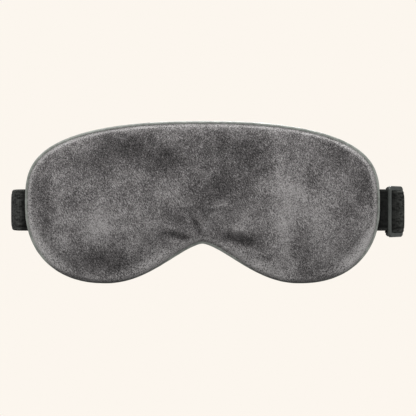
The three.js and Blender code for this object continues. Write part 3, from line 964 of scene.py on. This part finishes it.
# The frame's outer and inner edges, rounded over: (share of the way out to the edge, share of the
# half thickness) pairs.
FRAME_SOFT = 0.5 * MM
FRAME_OUTSIDE = ((0, -1), (0.3, -1), (1, -0.7), (1, 0.45), (0.55, 0.86), (0.25, 1), (-0.2, 1))
FRAME_INSIDE = ((-0.2, 1), (0.3, 1), (0.6, 0.86), (1, 0.45), (1, -0.7), (0.3, -1), (0, -1))
SLIDER_START = on_loop(math.radians(48), 1.5 * MM)  # the middle of its bar beside the mask
SLIDER_ALONG = np.array([math.cos(SLIDER_TURN), math.sin(SLIDER_TURN)])
SLIDER_OUT = np.array([math.sin(SLIDER_TURN), -math.cos(SLIDER_TURN)])
SLIDER_REACH = SLIDER_LENGTH - BAR_WIDTH


def on_slider(along, out):
    """The point (x, y) at a length along the slider from its near bar, and a height over its plane."""
    return SLIDER_START + SLIDER_ALONG * along + SLIDER_OUT * out


def smooth_route(points, per_span=10):
    """A smooth curve through points, given as dense points."""
    points = [np.array(p, float) for p in points]
    ends = [2 * points[0] - points[1], *points, 2 * points[-1] - points[-2]]
    route = []
    for a, b, c, d in zip(ends, ends[1:], ends[2:], ends[3:]):
        for i in range(per_span):
            t = i / per_span
            square = (2 * a - 5 * b + 4 * c - d) * t**2
            cube = (3 * b - a - 3 * c + d) * t**3
            route.append((2 * b + (c - a) * t + square + cube) / 2)
    return np.array(route + [points[-1]])


def sweep(name, path, wide_way, section):
    """A section of (width, depth) points carried along a 3-D path, its width pointing wide_way."""
    path = np.array(path)
    along = np.gradient(path, axis=0)
    along /= np.linalg.norm(along, axis=1, keepdims=True)
    wide = wide_way - along * (wide_way * along).sum(axis=1, keepdims=True)
    wide /= np.linalg.norm(wide, axis=1, keepdims=True)
    deep = np.cross(along, wide)
    verts = [p + w * a + d * b for p, w, d in zip(path, wide, deep) for a, b in section]
    rings, sides = len(path), len(section)
    obj = new_object(name, verts, ring_faces(rings, sides) + end_caps(rings, sides))
    fix_normals(obj)
    return obj


def bar_section(width, thick, corner=0.45 * MM, steps=3):
    """A rectangle with rounded corners, as (width, depth) points."""
    points = []
    for turn, (sx, sy) in enumerate([(1, 1), (-1, 1), (-1, -1), (1, -1)]):
        for k in range(steps + 1):
            angle = math.pi / 2 * (turn + k / steps)
            points.append((
                sx * (width / 2 - corner) + corner * math.cos(angle),
                sy * (thick / 2 - corner) + corner * math.sin(angle),
            ))
    return points


def rounded_loop(low, high, half_height, corner, steps=8):
    """Points round a rounded rectangle from low to high: (along, up, the way out from its middle)."""
    found = []
    middles = [(high - corner, half_height - corner), (low + corner, half_height - corner),
               (low + corner, corner - half_height), (high - corner, corner - half_height)]
    for turn, (u, z) in enumerate(middles):
        for k in range(steps + 1):
            angle = math.pi / 2 * (turn + k / steps)
            way = (math.cos(angle), math.sin(angle))
            found.append((u + corner * way[0], z + corner * way[1], way))
    return found


def slider_frame():
    """The slider's flat frame: a rounded rectangle with a window, its edges rounded over."""
    half = BAR_WIDTH / 2
    outer = rounded_loop(-half, SLIDER_REACH + half, SLIDER_HEIGHT / 2, 2.4 * MM)
    inner = rounded_loop(half, SLIDER_REACH - half, SLIDER_HEIGHT / 2 - END_WIDTH, 0.7 * MM)
    verts = []
    for loop, sign, profile in ((outer, -1, FRAME_OUTSIDE), (inner, 1, FRAME_INSIDE)):
        for share, level in profile:
            shift = sign * FRAME_SOFT * (1 - share)
            for u, z, way in loop:
                place = on_slider(u + way[0] * shift, level * BAR_THICK / 2)
                verts.append((*place, z + way[1] * shift + SLIDER_SAG))
    rings = len(FRAME_OUTSIDE) + len(FRAME_INSIDE)
    frame_look = new_object("slider_look", verts, ring_faces(rings, len(outer), closed=True))
    fix_normals(frame_look)
    return frame_look


def middle_bar():
    """The slider's middle bar, bowed inwards behind the elastic, with ends that rise to the frame."""
    top = (SLIDER_HEIGHT - BAR_WIDTH) / 2
    corner = 1.2 * MM
    inner = on_loop(SLIDER_HEADING, MIDDLE_BAR_LEVEL)
    outer = on_slider(SLIDER_REACH / 2, 0)
    half = [(*(outer + (inner - outer) * k / 8), top) for k in range(8)]
    half += [(*inner, top - corner * k) for k in (0.3, 1)]
    half += [(*inner, (top - corner) * (1 - k / 6)) for k in range(1, 6)]
    path = half + [(x, y, -z) for x, y, z in reversed(half)]
    path = [(x, y, z + SLIDER_SAG) for x, y, z in path]
    return sweep("middle_bar", path, np.array([*SLIDER_ALONG, 0]), bar_section(2 * MM, BAR_THICK))


def join(objects):
    """Joins the later objects into the first."""
    whole = bmesh.new()
    for obj in objects:
        whole.from_mesh(obj.data)
    whole.to_mesh(objects[0].data)
    whole.free()
    for obj in objects[1:]:
        bpy.data.objects.remove(obj)


def make_slider():
    frame_ring = slider_frame()
    join([frame_ring, middle_bar()])
    paint(frame_ring, "slider_plastic")
    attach(frame_ring, "slider")
    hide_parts("slider")


# Millimetres along the slider and over its plane, up over its middle and round its far bar.
HUMP_PLACES = [
    (-0.3, -1.7), (1.5, -1.5), (3.0, 0.2), (5.0, 1.3), (8.5, 1.7), (12.0, 1.7), (14.6, 1.4),
    (15.7, 0.2), (15.6, -1.6),
]
# Then degrees of heading and millimetres of level, down into the short elastic.
HUMP_TAIL = [(83, 2.6), (87, 0.9), (90, -0.2)]
HUMP_WIDTH = 25.8 * MM
HUMP_THICK = 1.8 * MM
HUMP_NARROWING = 0.035  # the share of its width that its tail gives up


def make_hump():
    """The elastic between the slider's bars: up over the middle, and round the far bar.

    It hangs low with the slider, and its tail settles to the level of the short elastic.
    """
    points = [on_slider(along * MM, out * MM) for along, out in HUMP_PLACES]
    points += [on_loop(math.radians(heading), level * MM) for heading, level in HUMP_TAIL]
    route = smooth_route(points)
    # painted shade where it comes from under the slider's near bar
    hump = band(
        "elastic_over_slider", route, HUMP_THICK, HUMP_WIDTH, cup=0.8 * MM, painted_shade=(1 * MM, 12 * MM)
    )
    co = coords(hump)
    settled = smooth_share((co[:, 1] - on_loop(math.radians(74))[1]) / (8 * MM))
    co[:, 2] = co[:, 2] * (1 - HUMP_NARROWING * settled) + SLIDER_SAG * (1 - settled)
    set_coords(hump, co)
    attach(hump, "slider")


# The lap round the middle bar, in millimetres: lengths past the bar over it, then (length, level)
# pairs under it.
LAP_OVER = [8, 6, 3, 1.2]
LAP_UNDER = [(1.5, -4.5), (3.5, -3.4), (5.5, -2.5), (8.8, -2.5), (11, -1.7), (13.5, -1.25)]
LAP_RISE_END = math.radians(133.5)  # the heading where it has risen to the route again


def make_strap_loop():
    """The long elastic's other end: lapped and stitched round the middle bar, then on to the rear."""
    turn = (BAR_THICK + THIN) / 2 + 0.2 * MM
    places = [(length * MM, -LAYER) for length in LAP_OVER]
    for angle in np.linspace(0, math.pi, 9):
        length = -0.6 * MM - turn * math.sin(angle)
        places.append((length, MIDDLE_BAR_LEVEL + turn * math.cos(angle)))
    places += [(length * MM, level * MM) for length, level in LAP_UNDER]
    points = [on_loop(SLIDER_HEADING + length / TEMPLE_R, level) for length, level in places]
    for heading in headings(math.radians(92), REAR_START):
        risen = float(smooth_share((heading - TAIL_END) / (LAP_RISE_END - TAIL_END)))
        points.append(on_loop(heading, -LAYER * (1 - risen)))
    route = smooth_route(points, 4)
    end = LEFT_LENGTH + REAR_LENGTH + lengths_along(route)[-1]
    loop = band("elastic_loop", route, THIN, uv_from=end, uv_step=-1)
    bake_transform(loop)
    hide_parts("strap_loop", "strap_right")


make_slider()
make_hump()
make_strap_loop()

for node in ("hem_thread", "loop_thread"):
    paint(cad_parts[node], "thread")
for node, look in (
    ("front_padding", "batting"),
    ("piping_cord", "batting"),
    ("back_padding", "foam"),
    ("blackout_layer", "blackout"),
    ("seam_thread", "thread"),
):
    paint(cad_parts[node], look)


# ---------- stage, camera and light ----------
CREAM = srgb(252, 246, 238)
CAMERA_DISTANCE = 0.6
AMBIENT = 0.38
FRAME_WIDTH = 249.6 * MM  # what the camera takes in at the seam plane


def studio():
    """Pale all round to the eye, but a dimmer light on the object, so that the lamps can shape it."""
    world = bpy.data.worlds.new("studio")
    scene.world = world
    world.use_nodes = True
    nodes, links = world.node_tree.nodes, world.node_tree.links
    seen = nodes["Background"]
    seen.inputs["Color"].default_value = CREAM
    lit = nodes.new("ShaderNodeBackground")
    lit.inputs["Color"].default_value = (1, 1, 1, 1)
    lit.inputs["Strength"].default_value = AMBIENT
    rays = nodes.new("ShaderNodeLightPath")
    mix = nodes.new("ShaderNodeMixShader")
    links.new(rays.outputs["Is Camera Ray"], mix.inputs["Fac"])
    links.new(lit.outputs["Background"], mix.inputs[1])
    links.new(seen.outputs["Background"], mix.inputs[2])
    links.new(mix.outputs["Shader"], nodes["World Output"].inputs["Surface"])


def floor():
    size, height = 6.0, PIPING_LOW.z - 0.35
    corners = [(x * size, y * size, height) for x, y in ((-1, -1), (1, -1), (1, 1), (-1, 1))]
    plane = new_object("floor", corners, [(0, 1, 2, 3)])
    look = bpy.data.materials.new("floor")
    look.use_nodes = True
    bsdf = look.node_tree.nodes["Principled BSDF"]
    bsdf.inputs["Base Color"].default_value = (0, 0, 0, 1)
    bsdf.inputs["Specular IOR Level"].default_value = 0.0
    bsdf.inputs["Emission Color"].default_value = CREAM
    bsdf.inputs["Emission Strength"].default_value = 1.0
    plane.data.materials.append(look)
    plane.visible_diffuse = False
    plane.visible_glossy = False


def area_light(name, place, size, power):
    """A round lamp that shines at the origin."""
    light = bpy.data.lights.new(name, "AREA")
    light.shape = "DISK"
    light.size = size
    light.energy = power
    obj = bpy.data.objects.new(name, light)
    scene.collection.objects.link(obj)
    obj.location = place
    obj.rotation_mode = "QUATERNION"
    obj.rotation_quaternion = (-Vector(place)).to_track_quat("-Z", "Y")


def camera():
    data = bpy.data.cameras.new("camera")
    data.lens = 36 * CAMERA_DISTANCE / FRAME_WIDTH
    obj = bpy.data.objects.new("camera", data)
    scene.collection.objects.link(obj)
    obj.location = (3.3 * MM, SEAM_Y - CAMERA_DISTANCE, 1.2 * MM)
    obj.rotation_euler = (math.pi / 2, 0, 0)
    scene.camera = obj


studio()
floor()
area_light("key", (-0.35, -0.75, 0.85), 0.5, 9)
area_light("fill", (0.8, -0.7, 0.1), 0.7, 2.5)
area_light("rim", (0.1, 0.45, 0.9), 0.5, 15)
camera()
scene.view_settings.view_transform = "Standard"
